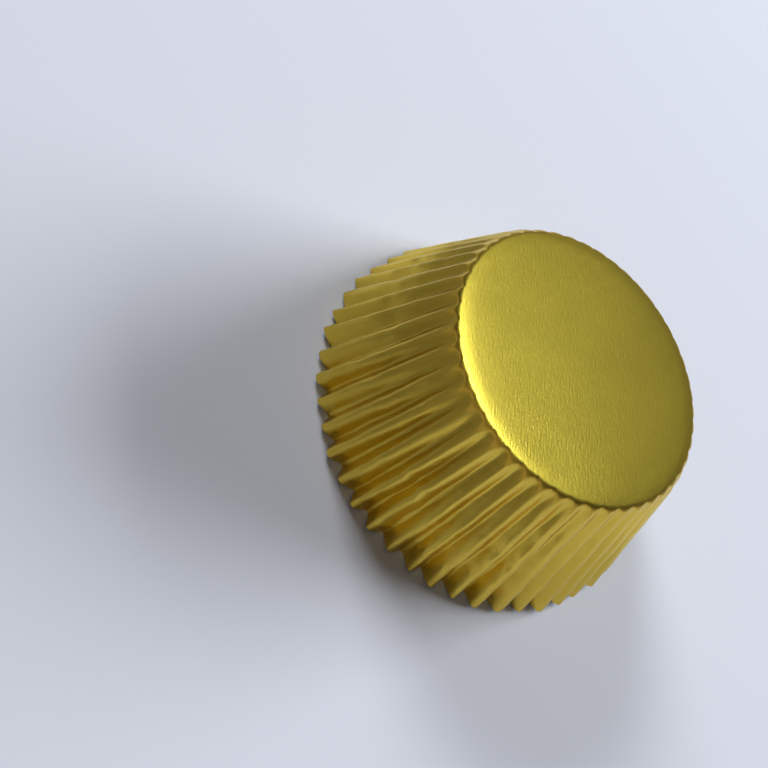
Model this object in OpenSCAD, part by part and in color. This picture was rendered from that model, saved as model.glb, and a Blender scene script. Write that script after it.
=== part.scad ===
// Fluted baking cup, pressed from one round sheet of foil-backed paper.
// It lies upside down, as on a table: its open rim below, its closed base on top.
// The origin is the middle of the rim's plane, and Z runs up the cup's axis.
// The sheet doesn't stretch, so the flutes are as deep as the blank's spare length makes them.

/* [Cup] */
// Diameter of the base, measured to the corner where base and wall would meet
base_d = 50; // [40:0.5:60]
// Length of the wall along the sheet, from that corner to the rim
wall_len = 29.4; // [22:0.2:36]
// Angle of the grooves from the cup's axis
flare = 17.5; // [10:0.5:28]

/* [Sheet] */
// Thickness of the foil and the paper together
sheet_t = 0.1; // [0.06:0.01:0.3]
// Outside radius of the bend between base and wall
bend_r = 1; // [0.6:0.1:2]

/* [Flutes] */
// Number of flutes round the wall
flute_count = 48; // [24:1:54]
// Share of a flute that is its ridge, between the middles of the two soft folds beside it
ridge_share = 0.24; // [0.2:0.01:0.3]
// Share of a flute that is its groove, between the middles of the two tight folds beside it
groove_share = 0.12; // [0.1:0.01:0.2]
// Share of a flute that each soft fold beside a ridge takes to turn
ridge_fold = 0.16; // [0.08:0.01:0.18]
// Share of a flute that each tight fold beside a groove takes to turn
groove_fold = 0.07; // [0.04:0.01:0.08]
// Length in which a ridge's blunt end rises from the bend to its full height
tip_len = 2.4; // [1:0.1:4]

/* [Unevenness] */
// How far a ridge strays sideways at the rim
sideways_stray = 0.25; // [0:0.05:0.5]
// Share by which a ridge's height strays from its neighbours'
height_stray = 0.1; // [0:0.01:0.2]

/* [Hidden] */

base_r = base_d / 2;
// The inner corner of the rim's grooves is what touches the table
height = wall_len * cos(flare) + sheet_t * sin(flare);

// The bend turns from straight up to square with the wall, in a few even steps
bend_turn = 90 - flare;
bend_reach = bend_r * tan(bend_turn / 2);
flat_r = base_r - bend_reach;
bend_steps = 2;

// Each kind of unevenness is the sum of two waves round the cup: how many waves there are to a
// turn, and where in its cycle each one starts. The counts are primes, so few flutes are alike
sideways_waves = [11, 19];
height_waves = [7, 17];
wave_starts = [40, 75];

// How many walls a line of sight can cross, for the preview
sight_crossings = 20;

// Distances along the wall, from the corner, of the rings below the bend
blunt_share = 0.3;
mid_share = 0.45;
tip_end = bend_reach + tip_len;
wall_stations = [
    bend_reach + tip_len * blunt_share,
    tip_end,
    tip_end + (wall_len - tip_end) * mid_share,
    wall_len
];
ring_count = bend_steps + len(wall_stations);

// One flute from groove to groove: where each fold begins and ends, with 0 on the ridge's middle
pitch = 360 / flute_count;
ridge_half = ridge_share / 2;
groove_edge = 0.5 - groove_share / 2;
flank = groove_edge - ridge_half;
half_flute = [
    ridge_half - ridge_fold / 2,
    ridge_half + ridge_fold / 2,
    groove_edge - groove_fold / 2,
    groove_edge + groove_fold / 2
];
flute_points = concat([for (k = [3:-1:0]) -half_flute[k]], half_flute);
column_count = flute_count * len(flute_points);

// Height over the groove, from 0 to 1, at a place in the flute: flat, fold, flank, fold, flat
function rise(place) = min(1, max(0, (groove_edge - abs(place)) / flank));

// Depth of the flutes at a distance from the corner. The blank's circle there is longer than the
// cup's, and the spare length goes into the flanks. Near the base, each ridge ends like a fingertip.
function groove_r(s) = base_r + s * sin(flare);
function spare(s) = (base_r + s) / groove_r(s);
function flats() = ridge_share + groove_share;
function full_depth(s) = 2 * PI * groove_r(s) / flute_count
    * sqrt(pow((spare(s) - flats()) / 2, 2) - pow((1 - flats()) / 2, 2));
function tip_rise(s) = let (left = max(0, 1 - (s - bend_reach) / tip_len)) sqrt(1 - left * left);
function depth(s) = full_depth(s) * tip_rise(s);

// How far a place is off its even angle, in degrees, and how much its flute is too high or too low
function wander(a, waves) = (sin(waves[0] * a + wave_starts[0]) + sin(waves[1] * a + wave_starts[1])) / 2;
function stray_angle(a, s) = let (stray = s / wall_len * sideways_stray * wander(a, sideways_waves))
    stray / groove_r(s) * 180 / PI;
function stray_height(a) = 1 + height_stray * wander(a, height_waves);

// The outside of the sheet at a ring, from the base's edge down to the rim, and at a column
function column_angle(i) = pitch * (floor(i / len(flute_points)) + flute_points[i % len(flute_points)]);
function column_rise(i) = rise(flute_points[i % len(flute_points)]);
function bend_angle(j) = 90 - bend_turn * j / bend_steps;
function around(r, a, z) = [r * cos(a), r * sin(a), z];
function bend_point(a, turn) = around(flat_r + bend_r * cos(turn), a, height - bend_r + bend_r * sin(turn));
function wall_point(i, s) = let (a = column_angle(i), out = depth(s) * column_rise(i) * stray_height(a))
    around(groove_r(s) + out * cos(flare), a + stray_angle(a, s), height - s * cos(flare) + out * sin(flare));
function skin_point(j, i) = j <= bend_steps
    ? bend_point(column_angle(i), bend_angle(j))
    : wall_point(i, wall_stations[j - bend_steps - 1]);

// The same place on the inside, square through the sheet
function unit(v) = v / norm(v);
function skin_slope(j, i) = cross(
    skin_point(j, i + 1) - skin_point(j, i - 1 + column_count),
    skin_point(max(j - 1, 0), i) - skin_point(min(j + 1, ring_count), i));
function skin_normal(j, i) = j <= bend_steps
    ? around(cos(bend_angle(j)), column_angle(i), sin(bend_angle(j)))
    : unit(skin_slope(j, i));
function lining_point(j, i) = skin_point(j, i) - sheet_t * skin_normal(j, i);

// The pressed sheet: a flat base, and round it the bend and the fluted wall, open at both ends
module liner() {
    color("goldenrod") {
        base();
        wall();
    }
}

module base() {
    translate([0, 0, height - sheet_t])
        linear_extrude(sheet_t)
            polygon([for (i = [0:column_count - 1]) let (p = skin_point(0, i)) [p[0], p[1]]]);
}

module wall() {
    rings = [for (j = [0:ring_count]) j];
    columns = [for (i = [0:column_count - 1]) i];
    inside = (ring_count + 1) * column_count;
    rim = ring_count * column_count;
    points = concat(
        [for (j = rings) for (i = columns) skin_point(j, i)],
        [for (j = rings) for (i = columns) lining_point(j, i)]);
    skin_faces = [for (j = [0:ring_count - 1]) for (i = columns)
        let (above = j * column_count, below = above + column_count, n = (i + 1) % column_count)
        for (face = [[above + i, above + n, below + n], [above + i, below + n, below + i]]) face];
    lining_faces = [for (f = skin_faces) [inside + f[2], inside + f[1], inside + f[0]]];
    rim_faces = [for (i = columns) let (n = (i + 1) % column_count)
        [rim + i, rim + n, inside + rim + n, inside + rim + i]];
    base_faces = [for (i = columns) let (n = (i + 1) % column_count)
        [n, i, inside + i, inside + n]];
    polyhedron(points, concat(skin_faces, lining_faces, rim_faces, base_faces), convexity = sight_crossings);
}

liner();
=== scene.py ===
"""A gold foil cupcake liner, lying upside down on its rim.

One round sheet of foil-backed paper, pressed into a cup: a flat base, a small bend and a fluted
wall. Each groove starts below the bend in a round scoop, and deepens to a full pleat at the rim.
"""
import math

import bpy
import numpy as np
from bpy.props import FloatProperty, FloatVectorProperty, IntProperty, PointerProperty
from bpy.types import Operator, Panel, PropertyGroup
from mathutils import Matrix, Vector


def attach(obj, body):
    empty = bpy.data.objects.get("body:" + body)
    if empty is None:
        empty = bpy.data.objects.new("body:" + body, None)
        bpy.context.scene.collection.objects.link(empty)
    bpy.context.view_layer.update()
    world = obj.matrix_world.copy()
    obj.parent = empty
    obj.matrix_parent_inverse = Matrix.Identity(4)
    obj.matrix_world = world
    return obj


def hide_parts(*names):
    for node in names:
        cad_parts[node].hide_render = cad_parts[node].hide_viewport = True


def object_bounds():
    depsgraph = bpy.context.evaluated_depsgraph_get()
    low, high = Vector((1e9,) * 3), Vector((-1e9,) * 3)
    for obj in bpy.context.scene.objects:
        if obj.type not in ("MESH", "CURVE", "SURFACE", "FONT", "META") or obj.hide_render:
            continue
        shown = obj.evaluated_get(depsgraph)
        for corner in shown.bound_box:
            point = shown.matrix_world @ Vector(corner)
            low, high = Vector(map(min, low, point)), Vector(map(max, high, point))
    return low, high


bl_info = {
    "name": "Foil Cupcake Liner",
    "version": (1, 0, 0),
    "blender": (4, 5, 0),
    "location": "3D View > Sidebar > Liner",
    "description": "Builds a fluted foil cupcake liner and a plain studio round it",
    "category": "Add Mesh",
}

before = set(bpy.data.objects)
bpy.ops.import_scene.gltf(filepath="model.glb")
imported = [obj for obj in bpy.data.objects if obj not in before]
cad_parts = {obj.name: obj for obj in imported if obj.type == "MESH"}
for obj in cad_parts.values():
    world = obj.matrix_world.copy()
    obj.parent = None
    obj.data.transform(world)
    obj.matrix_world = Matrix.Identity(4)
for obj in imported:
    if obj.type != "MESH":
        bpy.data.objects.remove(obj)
CAD_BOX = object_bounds()

MM = 0.001
SEED = 48


# Colour and node helpers

def linear(colour):
    """A #RRGGBB colour as linear red, green, blue and alpha."""
    parts = [int(colour[k:k + 2], 16) / 255 for k in (1, 3, 5)]
    return [p / 12.92 if p <= 0.04045 else ((p + 0.055) / 1.055) ** 2.4 for p in parts] + [1.0]


def add_node(tree, kind, links=(), **settings):
    """Adds one node. A setting named like a socket fills it, any other is a property of the node.

    links are pairs: the name or number of this node's input, and the output that feeds it.
    """
    node = tree.nodes.new(kind)
    for name, value in settings.items():
        if hasattr(node, name):
            setattr(node, name, value)
        else:
            node.inputs[name].default_value = value
    for name, output in links:
        tree.links.new(output, node.inputs[name])
    return node


def calculate(tree, operation, *values, **settings):
    """The result of one step of arithmetic on values, each of them an output or a number."""
    node = add_node(tree, "ShaderNodeMath", operation=operation, **settings)
    for socket, value in zip(node.inputs, values):
        if isinstance(value, float):
            socket.default_value = value
        else:
            tree.links.new(value, socket)
    return node.outputs["Value"]


def remap(tree, value, given, wanted):
    """A value turned from its given range into the wanted one and kept within it."""
    ranges = {"From Min": given[0], "From Max": given[1], "To Min": wanted[0], "To Max": wanted[1]}
    return add_node(tree, "ShaderNodeMapRange", [("Value", value)], **ranges).outputs["Result"]


def mapped(tree, place, **settings):
    """Places that are scaled and then turned."""
    return add_node(tree, "ShaderNodeMapping", [("Vector", place)], **settings).outputs["Vector"]


def blank_in_mm(tree, turn=0.0):
    """Places on the flat round blank in millimetres, turned by an angle."""
    blank = add_node(tree, "ShaderNodeUVMap", uv_map="flat_blank")
    scale = (1 / MM, 1 / MM, 1 / MM)
    return mapped(tree, blank.outputs["UV"], Rotation=(0, 0, turn), Scale=scale)


def noise(tree, place, per_mm, detail, roughness=0.5):
    """An uneven pattern between 0 and 1, with so many of its blots to a millimetre."""
    node = add_node(tree, "ShaderNodeTexNoise", [("Vector", place)],
                    Scale=per_mm, Detail=detail, Roughness=roughness)
    return node.outputs["Fac"]


def new_material(name):
    """A material with nothing in it but its output."""
    material = bpy.data.materials.new(name)
    material.use_nodes = True
    tree = material.node_tree
    tree.nodes.clear()
    output = tree.nodes.new("ShaderNodeOutputMaterial")
    return material, tree, output


def add_shader(tree, output, links=(), **settings):
    """Adds the shader of a surface and joins it to the material's output."""
    shader = add_node(tree, "ShaderNodeBsdfPrincipled", links, **settings)
    tree.links.new(shader.outputs["BSDF"], output.inputs["Surface"])
    return shader


def add_object(name, data):
    """Adds an object with the given data to the scene."""
    added = bpy.data.objects.new(name, data)
    bpy.context.scene.collection.objects.link(added)
    return added


# Sizes and finishes

class LinerSizes(PropertyGroup):
    base_diameter: FloatProperty(
        name="Base diameter",
        description="Diameter of the base at the corner where base and wall would meet",
        default=50 * MM, unit="LENGTH")
    wall_length: FloatProperty(
        name="Wall length",
        description="Length of a groove along the sheet, from that corner to the rim",
        default=29.4 * MM, unit="LENGTH")
    flare: FloatProperty(
        name="Flare", description="Angle of the grooves from the cup's axis",
        default=math.radians(17.5), subtype="ANGLE", unit="ROTATION")
    sheet_thickness: FloatProperty(
        name="Sheet thickness", description="Foil and paper together",
        default=0.1 * MM, unit="LENGTH")
    ridge_bend: FloatProperty(
        name="Bend at a ridge",
        description="Outside radius of the soft bend from the base to a ridge",
        default=1.25 * MM, unit="LENGTH")
    groove_bend: FloatProperty(
        name="Bend at a groove",
        description="Outside radius of the tight bend from the base to a groove",
        default=1.05 * MM, unit="LENGTH")
    flute_count: IntProperty(
        name="Flutes", description="Number of flutes round the wall", default=48)
    ridge_share: FloatProperty(
        name="Ridge share", description="Share of a flute that is the flat on its ridge",
        default=0.21, subtype="FACTOR")
    edge_width: FloatProperty(
        name="Soft edge width",
        description="Width of the base's edge that slopes gently to the bend",
        default=2.6 * MM, unit="LENGTH")
    edge_slope: FloatProperty(
        name="Soft edge slope", description="Slope of the base where the bend begins",
        default=math.radians(5), subtype="ANGLE", unit="ROTATION")
    drawn_in: FloatProperty(
        name="Drawn in", description="Extra length of sheet in the flutes at the base",
        default=2.5 * MM, unit="LENGTH")
    scoop_start: FloatProperty(
        name="Scoop start",
        description="Distance from the start of the bend to the round end of a groove",
        default=0.45 * MM, unit="LENGTH")
    scoop_length: FloatProperty(
        name="Scoop length",
        description="Length in which a groove's round end grows to its full width",
        default=3.2 * MM, unit="LENGTH")
    scoop_share: FloatProperty(
        name="Scoop share", description="Share of a flute that a groove's round end takes",
        default=0.88, subtype="FACTOR")
    crumple_depth: FloatProperty(
        name="Crumple depth", description="How far the flanks are crumpled in or out",
        default=0.014 * MM, unit="LENGTH")
    groove_share: FloatProperty(
        name="Groove share", description="Share of a flute that is the flat in its groove",
        default=0.1, subtype="FACTOR")
    least_flat: FloatProperty(
        name="Least flat",
        description="Smallest share of a flute that two neighbouring folds may close up to",
        default=0.06, subtype="FACTOR")
    ridge_reach: FloatProperty(
        name="Ridge rounding",
        description="How far from its line a ridge's fold starts to turn, low on the wall",
        default=0.45 * MM, unit="LENGTH")
    groove_reach: FloatProperty(
        name="Groove rounding",
        description="How far from its line a groove's fold starts to turn, low on the wall",
        default=0.15 * MM, unit="LENGTH")
    tip_length: FloatProperty(
        name="Tip length",
        description="Length in which the round end of a groove passes into the sharp folds",
        default=5.0 * MM, unit="LENGTH")
    sideways_stray: FloatProperty(
        name="Sideways stray", description="How far a ridge strays sideways at the rim",
        default=0.25 * MM, unit="LENGTH")
    height_stray: FloatProperty(
        name="Height stray", description="Share by which a ridge's height strays",
        default=0.1, subtype="FACTOR")
    dent_depth: FloatProperty(
        name="Dent depth", description="Depth of the deepest handling dents across the ridges",
        default=0.06 * MM, unit="LENGTH")


class LinerFinish(PropertyGroup):
    gold: FloatVectorProperty(
        name="Gold lacquer", description="Colour of the lacquered foil",
        subtype="COLOR", size=4, min=0, max=1, default=linear("#E1C24D"))
    gold_worn: FloatVectorProperty(
        name="Gold at the folds",
        description="Colour of the lacquer where it is stretched over a fold",
        subtype="COLOR", size=4, min=0, max=1, default=linear("#E8D068"))
    paper: FloatVectorProperty(
        name="Paper", description="Colour of the paper inside",
        subtype="COLOR", size=4, min=0, max=1, default=linear("#EFF1F3"))
    base_roughness: FloatProperty(
        name="Base roughness", description="Roughness of the foil's satin finish on the base",
        default=0.37, subtype="FACTOR")
    wall_roughness: FloatProperty(
        name="Wall roughness",
        description="Roughness of the foil on the wall, where the press burnished it",
        default=0.30, subtype="FACTOR")


class StudioSettings(PropertyGroup):
    floor_colour: FloatVectorProperty(
        name="Floor", description="Colour of the floor",
        subtype="COLOR", size=4, min=0, max=1, default=linear("#D9DFED"))
    overhead_power: FloatProperty(
        name="Overhead light", description="Power of the soft light above, for reflections",
        default=9.2, unit="POWER")
    window_power: FloatProperty(
        name="Window light", description="Power of the wide soft light at the far side",
        default=101.0, unit="POWER")
    doorway_power: FloatProperty(
        name="Doorway light", description="Power of the weaker soft light at the left",
        default=45.0, unit="POWER")
    room_power: FloatProperty(
        name="Room light", description="Power of the dim room behind the camera",
        default=3.0, unit="POWER")
    wall_strength: FloatProperty(
        name="Pale wall",
        description="Brightness of the pale wall round the room, where 1 is white",
        default=0.42)
    # Colour of the painted shade that the foil mirrors: a grey card that only reflections see, in
    # place of shaded floor
    reflected_shade_colour: FloatVectorProperty(
        name="Card", description="Colour of the dull card that only reflections see",
        subtype="COLOR", size=4, min=0, max=1, default=linear("#7A7B76"))
    lens: FloatProperty(
        name="Lens", description="Focal length on a 36 mm sensor",
        default=46.3, subtype="DISTANCE_CAMERA")


# The pressed sheet: its section

# Points along the section, and the length of wall that it has past the bend, in wall lengths
SECTION_POINTS = 8001
SECTION_REACH = 1.2

# Rings of the mesh: the first round the middle, shares of the base's flat, shares of the tip's
# length below the scoop's start, and the number of rings below the tip
FIRST_RING = 0.4 * MM
BASE_RINGS = (0.4, 0.8)
TIP_RINGS = (0.015, 0.04, 0.08, 0.13, 0.19, 0.26, 0.34, 0.43, 0.54, 0.68, 0.84, 1.0)
WALL_RINGS = 44

# Distance down the wall in which the paper drawn in at the base spends itself
DRAWN_IN_FADE = 4 * MM


def profile(size, bend_radius, flat=None):
    """The section of the cup from the middle of its base to its rim, by its slope.

    The slope is 0 on the base, grows slowly over the soft edge of the base and fast round the bend,
    and keeps the wall's angle down to the rim. Radius and drop add up its cosine and sine. Where no
    radius is given for the base's flat, it is the one that puts the wall on the line through the
    corner of the part's own base and wall.
    Gives a function that turns distances from the middle of the base into radius, drop and slope,
    and the distances at which the base's flat ends, the bend starts and the rim lies.
    """
    wall_slope = math.pi / 2 - size.flare
    bend_length = bend_radius * (wall_slope - size.edge_slope)
    knots = np.cumsum([0, size.edge_width, bend_length, size.wall_length * SECTION_REACH])
    along = np.linspace(0, knots[-1], SECTION_POINTS)
    slope = np.interp(along, knots, [0, size.edge_slope, wall_slope, wall_slope])
    middle = (slope[1:] + slope[:-1]) / 2
    radius = np.concatenate([[0], np.cumsum(np.cos(middle)) * along[1]])
    drop = np.concatenate([[0], np.cumsum(np.sin(middle)) * along[1]])
    if flat is None:
        flat = size.base_diameter / 2 + drop[-1] * math.tan(size.flare) - radius[-1]
    rim = flat + np.interp(size.wall_length * math.cos(size.flare), drop, along)

    def at(distance):
        past = distance - flat
        return (np.interp(past, along, radius) + np.minimum(distance, flat),
                np.interp(past, along, drop), np.interp(past, along, slope))

    return at, flat, flat + knots[1], rim


def ring_places(size, flat, bend_start, rim):
    """Distances of the rings from the middle of the base, close together where the grooves end."""
    scoop_start = bend_start + size.scoop_start
    base = [FIRST_RING, *(share * flat for share in BASE_RINGS), flat]
    edge = [0.5 * (flat + bend_start), bend_start, bend_start + 0.5 * size.scoop_start, scoop_start]
    tip = scoop_start + size.tip_length * np.array(TIP_RINGS)
    wall = np.linspace(tip[-1], rim, WALL_RINGS + 1)[1:]
    return np.concatenate([base, edge, tip, wall])


def full_depth(size, s):
    """Depth of a flute at distance s from the base's corner.

    The blank doesn't stretch. Its circle at s is longer than the cup's by the ratio spare, and the
    extra length goes into the two flanks, which are the long sides of right triangles. Close to the
    base the flutes stand a little taller, because paper is drawn into them from the bend.
    """
    drawn = s + size.drawn_in * np.exp(-s / DRAWN_IN_FADE)
    groove_r = size.base_diameter / 2 + drawn * math.sin(size.flare)
    spare = (size.base_diameter / 2 + drawn) / groove_r
    flats = size.ridge_share + size.groove_share
    pitch = 2 * math.pi * groove_r / size.flute_count
    return pitch * np.sqrt(((spare - flats) / 2) ** 2 - ((1 - flats) / 2) ** 2)


# The pressed sheet: its folds

# A flute's folds in their order round the cup: the side of the ridge, and the height from 0 in a
# groove to 1 on a ridge
FOLD_SIDES = (-1, -1, 1, 1)
FOLD_LEVELS = (0.0, 1.0, 1.0, 0.0)
FOLDS = len(FOLD_SIDES)

# The part's own unevenness: the counts of two waves round the cup, and where each wave starts
SIDEWAYS_WAVES = (11, 19)
HEIGHT_WAVES = (7, 17)
WAVE_STARTS = (math.radians(40), math.radians(75))

# How far a flute and each of its folds are shifted, as shares of a flute, and the growth of the
# shift down the wall as a power of the way down
FLUTE_SHIFT = 0.02
FOLD_SHIFT = 0.016
SHIFT_GROWTH = 0.5

# How far the folds waver: each one in long and in short kinks, and a flute as a whole, as shares
# of a flute with the spacing of the kinks
LONG_WAVER, LONG_KINKS = 0.020, 3.4 * MM
SHORT_WAVER, SHORT_KINKS = 0.014, 1.7 * MM
FLUTE_WAVER, FLUTE_KINKS = 0.018, 5.2 * MM
WAVER_GROWTH = 0.4

# How much higher or lower a fold ends at the rim, and how it ripples, as shares of the depth
FOLD_TILT = 0.04
RIPPLE, RIPPLE_KINKS = 0.022, 2.6 * MM
RIPPLE_GROWTH = 0.3

# Belts of dents: how far down the wall, how widely spread, and the share of ridges that have one
DENT_BELTS = ((16 * MM, 2 * MM, 0.9), (10.5 * MM, 2 * MM, 0.5), (21.5 * MM, 1.6 * MM, 0.5))

# A dent's least and greatest half width in millimetres, its least and greatest share of the full
# depth, its jog as a share of a flute, and its skew from one fold to the other in millimetres
DENT_HALF_WIDTH = (1.6, 3.0)
DENT_SHARE = (0.25, 1.0)
DENT_JOG = 0.05
DENT_SKEW = 0.5

# Crumples of the flanks: the belt's middle and half width, the strength outside the belt, the
# least and greatest extra strength in it, the length in which they set in, and their kinks
CRUMPLE_BELT = (16 * MM, 5.5 * MM)
CRUMPLE_OUTSIDE = 0.25
CRUMPLE_INSIDE = (0.2, 1.0)
CRUMPLE_SETS_IN = 5 * MM
CRUMPLE_KINKS = 3.4 * MM

# How much wider a fold's rounding is at the base than low on the wall, and how fast that fades
EXTRA_ROUNDING = 1.5
ROUNDING_FADE = 4 * MM

# Share of the way to the next fold that a rounding may take. Two of them leave a tenth of it
# straight, or the paper side would cross itself
MOST_REACH = 0.45


def wander(angle, waves):
    """Two slow waves round the cup, as in the part's own unevenness."""
    return sum(np.sin(count * angle + start) for count, start in zip(waves, WAVE_STARTS)) / 2


def kinked(draw, s, columns, spacing):
    """An uneven line for each column: random heights at knots an even spacing apart, joined by
    straight stretches, with the knots of each column shifted by a random part of the spacing."""
    place = s[:, None] / spacing + draw.uniform(0, 1, columns) + 1
    knot = np.floor(place).astype(int)
    heights = draw.normal(0, 1, (knot.max() + 2, columns))
    share = place - knot
    before, after = (np.take_along_axis(heights, k, 0) for k in (knot, knot + 1))
    return (1 - share) * before + share * after


def fold_lines(size, s, radius, draw):
    """Angle and height of the four folds of every flute, at every distance s down the wall.

    A fold's angle is its even place, plus the slow wander of the part, plus a shift of its flute
    and of itself, plus a kinked waver. All grow with s. Its height is 0 at a groove and 1 at a
    ridge, plus the same kinds of error. Both arrays are (rings, folds).
    """
    count = size.flute_count
    folds = FOLDS * count
    pitch = 2 * math.pi / count
    middle = np.repeat(np.arange(count), FOLDS)
    side = np.tile(FOLD_SIDES, count)
    level = np.tile(FOLD_LEVELS, count)
    half = np.where(level > 0, size.ridge_share / 2, 0.5 - size.groove_share / 2)
    angle = (middle + side * half) * pitch
    down = np.clip(s[:, None] / size.wall_length, 0, 1)

    drift = down * size.sideways_stray / radius[:, None] * wander(angle, SIDEWAYS_WAVES)
    shift = np.repeat(draw.normal(0, FLUTE_SHIFT, count), FOLDS) + draw.normal(0, FOLD_SHIFT, folds)
    waver = (LONG_WAVER * kinked(draw, s, folds, LONG_KINKS)
             + SHORT_WAVER * kinked(draw, s, folds, SHORT_KINKS))
    flute_waver = np.repeat(FLUTE_WAVER * kinked(draw, s, count, FLUTE_KINKS), FOLDS, axis=1)
    strayed = down ** SHIFT_GROWTH * shift + down ** WAVER_GROWTH * (waver + flute_waver)
    angles = angle + drift + strayed * pitch

    stray = 1 + size.height_stray * wander(angle, HEIGHT_WAVES)
    tilt = draw.normal(0, FOLD_TILT, folds)
    ripple = RIPPLE * kinked(draw, s, folds, RIPPLE_KINKS)
    heights = level * stray + down * tilt + down ** RIPPLE_GROWTH * ripple
    return angles, heights


def press_dents(size, s, angles, heights, draw):
    """Dents from handling: in a belt round the wall each ridge is pressed in and jogs to one side.

    A dent is a V along the ridge. Both folds of the ridge take it, one a little further down.
    """
    count = size.flute_count
    pitch = 2 * math.pi / count
    s = s[:, None]
    depth = full_depth(size, s)
    ridge_folds = [fold for fold in range(FOLDS) if FOLD_LEVELS[fold] > 0]
    for middle, spread, share in DENT_BELTS:
        place = draw.normal(middle, spread, count)
        there = draw.uniform(0, 1, count) < share
        half_width = draw.uniform(*DENT_HALF_WIDTH, count) * MM
        deep = draw.uniform(*DENT_SHARE, count) * size.dent_depth * there
        jog = draw.normal(0, DENT_JOG, count) * there
        skew = draw.normal(0, DENT_SKEW, count) * MM
        for fold in ridge_folds:
            off = np.abs(s - place - FOLD_SIDES[fold] * skew / 2)
            v = np.clip(1 - off / half_width, 0, 1)
            heights[:, fold::FOLDS] -= v * deep / depth
            angles[:, fold::FOLDS] += v * jog * pitch
    return angles, heights


def keep_apart(angles, least):
    """Folds that strayed closer to the next one than the least angle, moved back by half each."""
    step = np.diff(angles, axis=1, append=angles[:, :1] + 2 * math.pi)
    short = np.maximum(least - step, 0) / 2
    return angles - short + np.roll(short, 1, axis=1)


def crumple(size, s, draw):
    """How far one column inside a flank is pushed in or out: a kinked line, strongest in a belt
    round the wall, whose strength falls off like a bell from the belt's middle."""
    count = size.flute_count
    middle, half_width = CRUMPLE_BELT
    bell = np.exp(-((s - middle) / half_width) ** 2)[:, None]
    strength = CRUMPLE_OUTSIDE + bell * draw.uniform(*CRUMPLE_INSIDE, count)
    fade = np.clip(s / CRUMPLE_SETS_IN, 0, 1)[:, None]
    return size.crumple_depth * fade * strength * kinked(draw, s, count, CRUMPLE_KINKS)


def section_samples():
    """The columns of one flute: kind, fold, and share of the turn or of the way to the next fold.

    A flute has 16 columns: three on each of its four folds (start, middle and end of the turn), and
    two inside each flank.
    """
    samples = []
    for fold in range(FOLDS):
        samples += [("turn", fold, t) for t in (0.0, 0.5, 1.0)]
        if FOLD_LEVELS[fold] != FOLD_LEVELS[(fold + 1) % FOLDS]:
            samples += [("flank", fold, t) for t in (1 / 3, 2 / 3)]
    return samples


def pleat_columns(size, s, radius, angles, heights, draw):
    """Angle and height over the groove of every column of points.

    The section is the line through the folds with each corner rounded: a quadratic curve from a
    point before the fold to one after it, with the fold itself as the handle. The folds are soft at
    the base and grow crisp down the wall. Flank columns lie on the straight stretch between two
    turns, and are pushed square to it by the crumples.
    """
    s_column = s[:, None]
    radius = radius[:, None]
    x, y = angles * radius, heights * full_depth(size, s_column)
    full_turn = 2 * math.pi * radius
    before_x = np.concatenate([x[:, -1:] - full_turn, x[:, :-1]], axis=1)
    after_x = np.concatenate([x[:, 1:], x[:, :1] + full_turn], axis=1)
    before_y, after_y = np.roll(y, 1, axis=1), np.roll(y, -1, axis=1)
    to_after = np.hypot(after_x - x, after_y - y)
    on_ridge = np.tile(FOLD_LEVELS, size.flute_count) > 0
    softness = 1 + EXTRA_ROUNDING * np.exp(-s_column / ROUNDING_FADE)
    reach = np.where(on_ridge, size.ridge_reach, size.groove_reach) * softness
    reach_after = np.minimum(MOST_REACH, reach / to_after)
    reach_before = np.minimum(MOST_REACH, reach / np.roll(to_after, 1, axis=1))
    start = (x + (before_x - x) * reach_before, y + (before_y - y) * reach_before)
    end = (x + (after_x - x) * reach_after, y + (after_y - y) * reach_after)
    next_reach = np.roll(reach_before, -1, axis=1)
    next_start = (after_x + (x - after_x) * next_reach, after_y + (y - after_y) * next_reach)
    across = (-(after_y - y) / to_after, (after_x - x) / to_after)

    out_x, out_y = [], []
    for kind, fold, t in section_samples():
        pick = slice(fold, None, FOLDS)
        if kind == "turn":
            weights = ((1 - t) ** 2, 2 * t * (1 - t), t ** 2)
            px, py = (
                sum(w * part[axis] for w, part in zip(weights, (start, (x, y), end)))[:, pick]
                for axis in (0, 1))
        else:
            push = crumple(size, s, draw)
            px, py = (
                (end[axis] + (next_start[axis] - end[axis]) * t)[:, pick]
                + across[axis][:, pick] * push
                for axis in (0, 1))
        out_x.append(px)
        out_y.append(py)
    angle, out = (np.stack(part, axis=2).reshape(len(s), -1) for part in (out_x, out_y))
    return angle / radius, out


# The pressed sheet: its surface

# How early or late a scoop starts, and the power that rounds its depth, where 0.5 is an ellipse
SCOOP_STRAY = 0.07 * MM
SCOOP_ROUNDING = 0.6

# Stands in for a scoop's half width, as a share of a flute, where it has none
NO_WIDTH = 1e-6

# Length past the bend's start in which the ridges rise to their full height
RIDGE_RISE = 3 * MM

# The base's faint swell: its height, the lengths and starts of its waves, and the drop below the
# base in which it fades out
SWELL_HEIGHT = 0.035 * MM
SWELL_LENGTHS = (6.1 * MM, 7.3 * MM)
SWELL_STARTS = (0.6, 1.1)
SWELL_FADE = 0.1 * MM

# Length below the base's corner in which the worn lacquer on the folds sets in
WEAR_SETS_IN = 2 * MM

# Places of the finishes in the sheet's list of materials
FOIL, PAPER, CUT = 0, 1, 2


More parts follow.
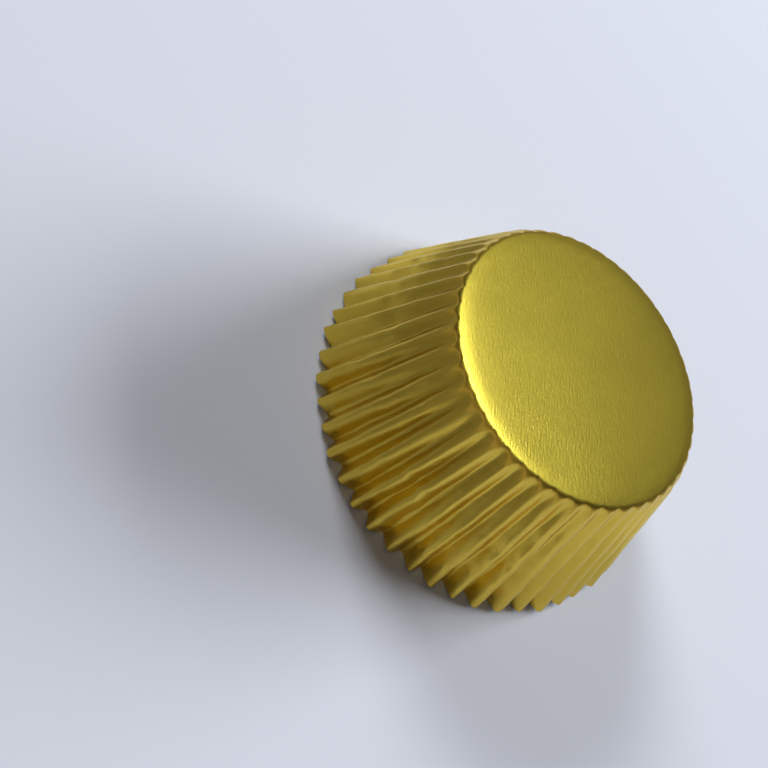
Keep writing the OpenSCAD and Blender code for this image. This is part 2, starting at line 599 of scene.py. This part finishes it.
def scoops(size, angle, past_bend_start, draw):
    """Level of the surface near the base, from 0 in a groove to 1 on a ridge.

    A groove ends near the base in a round scoop, like the print of a fingertip. Seen square to the
    wall the scoop's outline is half an ellipse, and across the scoop its depth is nearly that of an
    ellipse too. Each scoop starts a little early or late.
    """
    pitch = 2 * math.pi / size.flute_count
    groove = np.floor(angle / pitch).astype(int)
    across = np.abs(angle / pitch - groove - 0.5)
    early = draw.normal(0, SCOOP_STRAY, size.flute_count)[groove % size.flute_count]
    t = np.clip((past_bend_start - size.scoop_start - early) / size.scoop_length, 0, 1)
    half_width = size.scoop_share / 2 * np.sqrt(1 - (1 - t) ** 2)
    inside = 1 - (across / np.maximum(half_width, NO_WIDTH)) ** 2
    return 1 - np.clip(inside, 0, 1) ** SCOOP_ROUNDING


def eased(t):
    """A smooth step from 0 to 1."""
    t = np.clip(t, 0, 1)
    return t * t * (3 - 2 * t)


def base_swell(x, y):
    """Height of the base's faint unevenness: the product of a slow wave along X and one along Y."""
    (x_length, y_length), (x_start, y_start) = SWELL_LENGTHS, SWELL_STARTS
    return SWELL_HEIGHT * np.sin(x / x_length + x_start) * np.sin(y / y_length + y_start)


def outside_grid(size, height):
    """Points of the foil side, from the middle of the base to the rim: (rings, columns, 3).

    Each point lies between the section through a groove and the section through a ridge, by its
    level from 0 to 1. Below the bend, the ridge's section stands further out by what the flute is
    deeper than the two sections are apart.
    Also gives each ring's distance along the sheet, and each column's mark for folds.
    """
    draw = np.random.default_rng(SEED)
    at_groove, flat, bend_start, rim = profile(size, size.groove_bend)
    at_ridge, *_ = profile(size, size.ridge_bend, flat)
    along = ring_places(size, flat, bend_start, rim)
    radius, drop, _ = at_groove(along)
    s = drop / math.cos(size.flare)
    angles, heights = fold_lines(size, s, radius, draw)
    angles, heights = press_dents(size, s, angles, heights, draw)
    angles = keep_apart(angles, size.least_flat * 2 * math.pi / size.flute_count)
    angle, out = pleat_columns(size, s, radius, angles, heights, draw)

    # Near the base the grooves end in scoops, which pass into the folds
    past_bend_start = along[:, None] - bend_start
    depth = full_depth(size, s[:, None])
    folded = eased(past_bend_start / size.tip_length)
    level = (1 - folded) * scoops(size, angle, past_bend_start, draw) + folded * out / depth

    # The ridge's longer way round its bend is made up for below it, and the two walls are a gap
    # apart
    late = (drop[-1] - at_ridge(rim)[1]) / math.cos(size.flare)
    gap = (at_ridge(rim + late)[0] - radius[-1]) * math.cos(size.flare)
    down_wall = eased(past_bend_start / RIDGE_RISE)
    radius, drop = radius[:, None], drop[:, None]
    ridge_radius, ridge_drop, slope = at_ridge(along[:, None] + late * down_wall)
    more = np.maximum(depth - gap, 0) * down_wall
    r = radius + level * (ridge_radius + more * np.sin(slope) - radius)
    z = height - drop + level * (drop - ridge_drop + more * np.cos(slope))
    x, y = r * np.cos(angle), r * np.sin(angle)
    z = z + np.clip(1 - drop / SWELL_FADE, 0, 1) * base_swell(x, y)
    marks = [1.0 if kind == "turn" and t == 0.5 else 0.0 for kind, _, t in section_samples()]
    return np.stack([x, y, z], axis=2), along, np.tile(marks, size.flute_count)


def unit(vectors):
    """The vectors of a grid (rings, columns, 3), each made one long."""
    return vectors / np.linalg.norm(vectors, axis=2, keepdims=True)


def surface_normals(points):
    """Unit normals of a closed ring grid, square to the mean directions round it and down it.

    A mean direction is that of the steps before and after a point, each counted as one whatever its
    length. So a short step in the middle of a ridge doesn't make its two ends lean apart.
    """
    round_step = unit(np.roll(points, -1, axis=1) - points)
    down_step = unit(np.diff(points, axis=0))
    round_it = round_step + np.roll(round_step, 1, axis=1)
    down_it = np.concatenate([down_step[:1], down_step[:-1] + down_step[1:], down_step[-1:]])
    return unit(np.cross(down_it, round_it))


def sheet_mesh(size, height):
    """The whole sheet as one closed mesh: foil side, paper side and the cut edge at the rim.

    The paper side is the foil side moved inwards along its normals by the sheet's thickness. No
    point goes below the table that the rim stands on.
    """
    foil, along, fold_marks = outside_grid(size, height)
    rings, columns, _ = foil.shape
    paper = foil - surface_normals(foil) * size.sheet_thickness
    for side in (foil, paper):
        side[:, :, 2] = np.maximum(side[:, :, 2], 0)
    poles = np.array([foil[0].mean(axis=0), paper[0].mean(axis=0)])
    points = np.concatenate([foil.reshape(-1, 3), paper.reshape(-1, 3), poles])
    per_side = rings * columns
    foil_pole, paper_pole = 2 * per_side, 2 * per_side + 1

    ring = np.arange(rings - 1)[:, None] * columns
    here = np.arange(columns)
    after = np.roll(here, -1)
    corners = [ring + here, ring + columns + here, ring + columns + after, ring + after]
    foil_quads = np.stack(corners, axis=2).reshape(-1, 4)
    paper_quads = foil_quads[:, ::-1] + per_side
    rim = (rings - 1) * columns
    edge_corners = [rim + here, per_side + rim + here, per_side + rim + after, rim + after]
    edge_quads = np.stack(edge_corners, axis=1)
    foil_fan = np.stack([np.full(columns, foil_pole), here, after], axis=1)
    paper_fan = np.stack([np.full(columns, paper_pole), per_side + after, per_side + here], axis=1)

    groups = ((foil_quads, FOIL), (paper_quads, PAPER), (edge_quads, CUT),
              (foil_fan, FOIL), (paper_fan, PAPER))
    faces = [face for group, _ in groups for face in group.tolist()]
    finishes = np.concatenate([np.full(len(group), finish) for group, finish in groups])
    mesh = bpy.data.meshes.new("liner_sheet")
    mesh.from_pydata(points.tolist(), [], faces)
    mesh.polygons.foreach_set("material_index", finishes.astype(np.int32))
    mesh.polygons.foreach_set("use_smooth", np.ones(len(faces), dtype=bool))
    keep_rim_crisp(mesh, rim, columns, per_side)
    flat_blank_map(mesh, foil, along)
    fold_attribute(mesh, fold_marks, along, size)
    mesh.validate()
    mesh.update()
    return mesh


def keep_rim_crisp(mesh, rim, columns, per_side):
    """Marks the two edges of the cut as sharp, so the cut doesn't shade into the faces."""
    ends = np.empty(2 * len(mesh.edges), dtype=np.int32)
    mesh.edges.foreach_get("vertices", ends)
    ends = ends.reshape(-1, 2)
    on_foil = (ends >= rim) & (ends < rim + columns)
    on_paper = (ends >= per_side + rim) & (ends < per_side + rim + columns)
    sharp = on_foil.all(axis=1) | on_paper.all(axis=1)
    mesh.attributes.new("sharp_edge", "BOOLEAN", "EDGE").data.foreach_set("value", sharp)


def flat_blank_map(mesh, foil, along):
    """A UV map in metres: where each point lay on the flat round blank before it was pressed.

    Its distance from the middle is its distance along the sheet, and its direction is kept.
    """
    direction = foil[:, :, :2] / np.linalg.norm(foil[:, :, :2], axis=2, keepdims=True)
    blank = (direction * along[:, None, None]).reshape(-1, 2)
    blank = np.concatenate([blank, blank, np.zeros((2, 2))])
    corner = np.empty(len(mesh.loops), dtype=np.int32)
    mesh.loops.foreach_get("vertex_index", corner)
    layer = mesh.uv_layers.new(name="flat_blank")
    layer.data.foreach_set("uv", blank[corner].ravel())


def fold_attribute(mesh, fold_marks, along, size):
    """1 along the middle of each fold and 0 between folds, faded in below the bend."""
    fade = np.clip((along - size.base_diameter / 2) / WEAR_SETS_IN, 0, 1)
    one_side = (fade[:, None] * fold_marks).ravel()
    marks = np.concatenate([one_side, one_side, np.zeros(2)])
    mesh.attributes.new("fold", "FLOAT", "POINT").data.foreach_set("value", marks)


# Materials

# Range that holds most of a noise's values
NOISE = (0.3, 0.7)

# Distances from the middle of the blank, in millimetres: across the bend, where the satin base
# passes into the burnished wall, and down the wall, where the crinkles set in
ACROSS_BEND = (24.6, 26.4)
DOWN_WALL = (31.0, 37.0)

# Turns of the blank that bring the patterns into the rolling's direction, and from there into the
# crinkles'
ROLLED = math.radians(43)
CRINKLED = math.radians(-132)

# Depths of the relief where its pattern goes from 0 to 1
STREAK_DEPTH = 0.036 * MM
CRINKLE_DEPTH = 0.24 * MM
FELT_DEPTH = 0.02 * MM


def crinkles(tree, place, from_middle):
    """Sharp crinkles 0.6 mm wide and 3 mm long where the wall was handled, in patches about 8 mm
    across. A crease runs where the noise crosses its mean."""
    crossing = mapped(tree, place, Rotation=(0, 0, CRINKLED))
    drawn_out = mapped(tree, crossing, Scale=(0.33, 1.6, 1))
    off_mean = calculate(tree, "SUBTRACT", noise(tree, drawn_out, 1.0, 2.0), 0.5)
    creased = calculate(tree, "ABSOLUTE", off_mean)
    handled = remap(tree, noise(tree, place, 0.12, 1.0), (0.44, 0.58), (0.05, 0.6))
    on_wall = remap(tree, from_middle, DOWN_WALL, (0.0, 1.0))
    strength = calculate(tree, "MULTIPLY", handled, on_wall)
    bump = add_node(
        tree, "ShaderNodeBump", [("Height", creased), ("Strength", strength)],
        Distance=CRINKLE_DEPTH)
    return bump.outputs["Normal"]


def lacquered_foil(finish):
    """Aluminium foil, rolled, laminated to paper and gold lacquered: a soft satin mirror. Rolling
    leaves fine streaks one way, the paper's fibres print a faint grain, and the lacquer is thinner
    and paler where it was stretched over a fold."""
    material, tree, output = new_material("Gold lacquered aluminium foil, rolled and laminated")
    place = blank_in_mm(tree, ROLLED)
    # Rolling streaks about 0.3 mm wide and 1.8 mm long, drawn coarser than real to show
    streaks = noise(tree, mapped(tree, place, Scale=(0.55, 3.2, 1)), 1.0, 3.0, 0.55)
    # Fibre grain of the paper behind, about 0.4 mm
    grain = noise(tree, place, 2.6, 4.0, 0.6)
    # Slow cloudiness of the lacquer, about 12 mm
    cloud = noise(tree, place, 0.085, 2.0)
    fold = add_node(tree, "ShaderNodeAttribute", attribute_name="fold")
    worn = remap(tree, fold.outputs["Fac"], (0.3, 1.0), (0.0, 0.35))
    colour = add_node(tree, "ShaderNodeMix", [("Factor", worn)], data_type="RGBA")
    colour.inputs["A"].default_value = finish.gold
    colour.inputs["B"].default_value = finish.gold_worn
    tone = remap(tree, cloud, NOISE, (0.95, 1.03))
    tinted = add_node(
        tree, "ShaderNodeHueSaturation", [("Color", colour.outputs["Result"]), ("Value", tone)])
    # The base stays satin, and the wall past the bend is burnished
    length = add_node(tree, "ShaderNodeVectorMath", [("Vector", place)], operation="LENGTH")
    from_middle = length.outputs["Value"]
    satin = remap(tree, from_middle, ACROSS_BEND, (finish.base_roughness, finish.wall_roughness))
    rough = calculate(tree, "MULTIPLY", satin, remap(tree, streaks, NOISE, (0.93, 1.12)))
    relief_strength = remap(tree, from_middle, ACROSS_BEND, (0.8, 0.015))
    relief = calculate(tree, "ADD", streaks, grain)
    crinkled = crinkles(tree, place, from_middle)
    bump = add_node(
        tree, "ShaderNodeBump",
        [("Height", relief), ("Strength", relief_strength), ("Normal", crinkled)],
        Distance=STREAK_DEPTH)
    add_shader(
        tree, output,
        [("Base Color", tinted.outputs["Color"]), ("Roughness", rough),
         ("Normal", bump.outputs["Normal"])], Metallic=1.0)
    return material


def greaseproof_paper(finish):
    """White greaseproof paper, calendered: matt with a slight sheen, a faint cloud of fibres, and
    fine felt marks."""
    material, tree, output = new_material("White greaseproof paper, calendered")
    place = blank_in_mm(tree)
    # Fibre cloud about 2 mm across
    cloud = noise(tree, place, 0.5, 5.0, 0.6)
    # Felt marks about 0.3 mm
    felt = noise(tree, place, 3.3, 3.0)
    tone = remap(tree, cloud, NOISE, (0.965, 1.01))
    tinted = add_node(tree, "ShaderNodeHueSaturation", [("Value", tone)], Color=finish.paper)
    bump = add_node(
        tree, "ShaderNodeBump", [("Height", felt)], Strength=0.3, Distance=FELT_DEPTH)
    add_shader(
        tree, output,
        [("Base Color", tinted.outputs["Color"]), ("Normal", bump.outputs["Normal"])],
        Roughness=0.7, IOR=1.5)
    return material


def cut_edge():
    """The die-cut edge of the laminate: bare fibres, grey with crushed foil."""
    material, tree, output = new_material("Laminate edge, die cut")
    # Torn fibres about 0.2 mm apart
    fibres = noise(tree, blank_in_mm(tree), 5.0, 2.0)
    ramp = add_node(tree, "ShaderNodeValToRGB", [("Fac", fibres)])
    for element, place, colour in zip(ramp.color_ramp.elements, NOISE, ("#6E6C5E", "#B4B0A0")):
        element.position = place
        element.color = linear(colour)
    add_shader(tree, output, [("Base Color", ramp.outputs["Color"])], Roughness=0.85, IOR=1.5)
    return material


def plain_material(name, colour, roughness, ior):
    """A surface of one colour without a pattern."""
    material, tree, output = new_material(name)
    shader = add_shader(tree, output, Roughness=roughness, IOR=ior)
    shader.inputs["Base Color"].default_value = colour
    return material


def painted_floor(settings):
    """Plain painted board: flat and matt, so the liner's shadow falls on it softly."""
    return plain_material("Matt painted board, rolled", settings.floor_colour, 0.9, 1.45)


def reflected_shade_material(settings):
    """Painted shade for the foil's reflections: uncoated grey card with no sheen, so it darkens
    evenly what the foil mirrors.
    """
    return plain_material("Painted shade card, dull grey", settings.reflected_shade_colour, 1.0, 1.3)


# The studio, in metres

FLOOR_REACH = 1.5

# What the lamps aim at: a point inside the cup
AIM = (0, 0, 0.02)

# Each lamp's place, its width and height, and its colour
OVERHEAD = ((-0.17, 0.364, 1.256), (0.4, 0.4), "#EEFFF7")
WINDOW = ((0.98, 2.10, 0.95), (1.7, 1.0), "#FFFFFF")
DOORWAY = ((-2.0, 0.93, 1.19), (0.9, 0.9), "#FFFFFF")
ROOM = ((0, -1.25, 1.1), (2.4, 2.0), "#FFE4CC")

# The card of painted shade, which the foil mirrors in place of the floor there, is part of a ring
# round the cup:
# its two radii, its first and last direction in degrees, the number of corners on each radius, and
# its height over the floor
SHADE_CARD_RADII = (0.062, 0.9)
SHADE_CARD_DIRECTIONS = (165, 300)
SHADE_CARD_CORNERS = 24
SHADE_CARD_HEIGHT = MM

# The pale wall fades between these sines of the angle over the horizon, of 8 and 25 degrees
WALL_FADE = (0.14, 0.42)
WALL_COLOUR = "#F0E4DE"
SKY_STRENGTH = 0.03

# The photograph's camera as it stood to the liner, from a fit of a pinhole camera to the picture
CAMERA_PLACE = (-2.91 * MM, -125.96 * MM, 138.95 * MM)
CAMERA_FORWARD = (-0.07005, 0.61776, -0.78324)
CAMERA_UP = (-0.84953, 0.37461, 0.37144)
CAMERA_CLIP = (0.005, 20)
SENSOR_WIDTH_MM = 36


def soft_light(name, kind, power):
    """A rectangular area light of the given power. Its kind is one of the lamps above."""
    place, (width, height), colour = kind
    lamp = bpy.data.lights.new(name, "AREA")
    lamp.shape = "RECTANGLE"
    lamp.size, lamp.size_y = width, height
    lamp.energy = power
    lamp.color = linear(colour)[:3]
    light = add_object(name, lamp)
    light.location = place
    light.rotation_euler = (Vector(AIM) - Vector(place)).to_track_quat("-Z", "Y").to_euler()
    return light


def plain_floor(settings):
    """The floor that the liner lies on."""
    mesh = bpy.data.meshes.new("floor")
    reach = FLOOR_REACH
    corners = [(-reach, -reach, 0), (reach, -reach, 0), (reach, reach, 0), (-reach, reach, 0)]
    mesh.from_pydata(corners, [], [(0, 1, 2, 3)])
    mesh.materials.append(painted_floor(settings))
    add_object("floor", mesh)


def reflected_shade_card(settings):
    """Painted shade: a dull card that only reflections see, so the foil mirrors a grey shade in
    place of the floor there. It lies just above the floor, a part of a ring between two radii and
    two directions."""
    inner, outer = SHADE_CARD_RADII
    turn = np.radians(np.linspace(*SHADE_CARD_DIRECTIONS, SHADE_CARD_CORNERS))
    line = np.stack([np.cos(turn), np.sin(turn)], axis=1)
    corners = np.concatenate([line * inner, line[::-1] * outer])
    points = np.concatenate([corners, np.full((len(corners), 1), SHADE_CARD_HEIGHT)], axis=1)
    mesh = bpy.data.meshes.new("card")
    mesh.from_pydata(points.tolist(), [], [tuple(range(len(points)))])
    mesh.materials.append(reflected_shade_material(settings))
    card = add_object("card", mesh)
    # Hidden from the camera, from shadows and from diffuse light: only reflections show this
    # painted shade
    card.visible_camera = False
    card.visible_shadow = False
    card.visible_diffuse = False


def pale_room(settings):
    """The world: a pale wall low round the room, which the camera and reflections see. The lamps
    light the floor, and the world adds only a trace to that."""
    world = bpy.data.worlds.new("studio")
    world.use_nodes = True
    tree = world.node_tree
    tree.nodes.clear()
    direction = add_node(tree, "ShaderNodeTexCoord")
    apart = add_node(tree, "ShaderNodeSeparateXYZ", [("Vector", direction.outputs["Generated"])])
    wall = remap(tree, apart.outputs["Z"], WALL_FADE, (settings.wall_strength, 0.0))
    path = add_node(tree, "ShaderNodeLightPath").outputs
    seen = calculate(tree, "ADD", path["Is Camera Ray"], path["Is Glossy Ray"])
    seen_through = calculate(tree, "ADD", seen, path["Is Transmission Ray"], use_clamp=True)
    strength = calculate(tree, "MULTIPLY_ADD", wall, seen_through, SKY_STRENGTH)
    sky = add_node(tree, "ShaderNodeBackground", [("Strength", strength)])
    sky.inputs["Color"].default_value = linear(WALL_COLOUR)
    add_node(tree, "ShaderNodeOutputWorld", [("Surface", sky.outputs["Background"])])
    return world


def aimed_camera(settings):
    """The photograph's camera. It looks down at about 52 degrees and is rolled, so that the liner's
    axis leans to the right."""
    camera = bpy.data.cameras.new("photo_camera")
    camera.sensor_width = SENSOR_WIDTH_MM
    camera.lens = settings.lens
    camera.clip_start, camera.clip_end = CAMERA_CLIP
    stand = add_object("photo_camera", camera)
    forward = Vector(CAMERA_FORWARD).normalized()
    right = forward.cross(Vector(CAMERA_UP)).normalized()
    up = right.cross(forward)
    turn = Matrix((right, up, -forward)).transposed()
    stand.matrix_world = Matrix.Translation(CAMERA_PLACE) @ turn.to_4x4()
    return stand


# Operators

# How far the wall's length and flare may miss the height of the frame's liner
HEIGHT_MISS = 0.1 * MM


class LINER_OT_sheet(Operator):
    """Builds the pressed sheet in place of the plain solid"""
    bl_idname = "liner.sheet"
    bl_label = "Pressed sheet"

    def execute(self, context):
        size = context.scene.liner_sizes
        finish = context.scene.liner_finish
        height = CAD_BOX[1].z
        groove_height = size.wall_length * math.cos(size.flare)
        expected = groove_height + size.sheet_thickness * math.sin(size.flare)
        if abs(expected - height) > HEIGHT_MISS:
            raise RuntimeError("The wall's length and flare don't give the frame's height")
        mesh = sheet_mesh(size, height)
        for material in (lacquered_foil(finish), greaseproof_paper(finish), cut_edge()):
            mesh.materials.append(material)
        piece = add_object("liner_sheet", mesh)
        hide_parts("liner")
        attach(piece, "root")
        return {"FINISHED"}


class LINER_OT_studio(Operator):
    """Builds the floor, the lights and the camera"""
    bl_idname = "liner.studio"
    bl_label = "Studio"

    def execute(self, context):
        settings = context.scene.liner_studio
        plain_floor(settings)
        # Only reflections see the overhead light, and none sees the window or the doorway
        soft_light("overhead", OVERHEAD, settings.overhead_power).visible_diffuse = False
        soft_light("window", WINDOW, settings.window_power).visible_glossy = False
        soft_light("doorway", DOORWAY, settings.doorway_power).visible_glossy = False
        soft_light("room", ROOM, settings.room_power)
        # Painted shade that only the foil's reflections see
        reflected_shade_card(settings)
        context.scene.world = pale_room(settings)
        context.scene.camera = aimed_camera(settings)
        context.scene.view_settings.view_transform = "Standard"
        return {"FINISHED"}


class LINER_PT_panel(Panel):
    bl_label = "Cupcake liner"
    bl_idname = "LINER_PT_panel"
    bl_space_type = "VIEW_3D"
    bl_region_type = "UI"
    bl_category = "Liner"

    def draw(self, context):
        layout = self.layout
        scene = context.scene
        for group in (scene.liner_sizes, scene.liner_finish, scene.liner_studio):
            box = layout.box()
            for name in group.__annotations__:
                box.prop(group, name)
        layout.operator("liner.sheet")
        layout.operator("liner.studio")


CLASSES = (LinerSizes, LinerFinish, StudioSettings, LINER_OT_sheet, LINER_OT_studio, LINER_PT_panel)


def register():
    for cls in CLASSES:
        bpy.utils.register_class(cls)
    bpy.types.Scene.liner_sizes = PointerProperty(type=LinerSizes)
    bpy.types.Scene.liner_finish = PointerProperty(type=LinerFinish)
    bpy.types.Scene.liner_studio = PointerProperty(type=StudioSettings)


def unregister():
    del bpy.types.Scene.liner_studio
    del bpy.types.Scene.liner_finish
    del bpy.types.Scene.liner_sizes
    for cls in reversed(CLASSES):
        bpy.utils.unregister_class(cls)


def main():
    """Builds the liner and its studio."""
    register()
    bpy.ops.liner.sheet()
    bpy.ops.liner.studio()


if __name__ == "__main__":
    main()
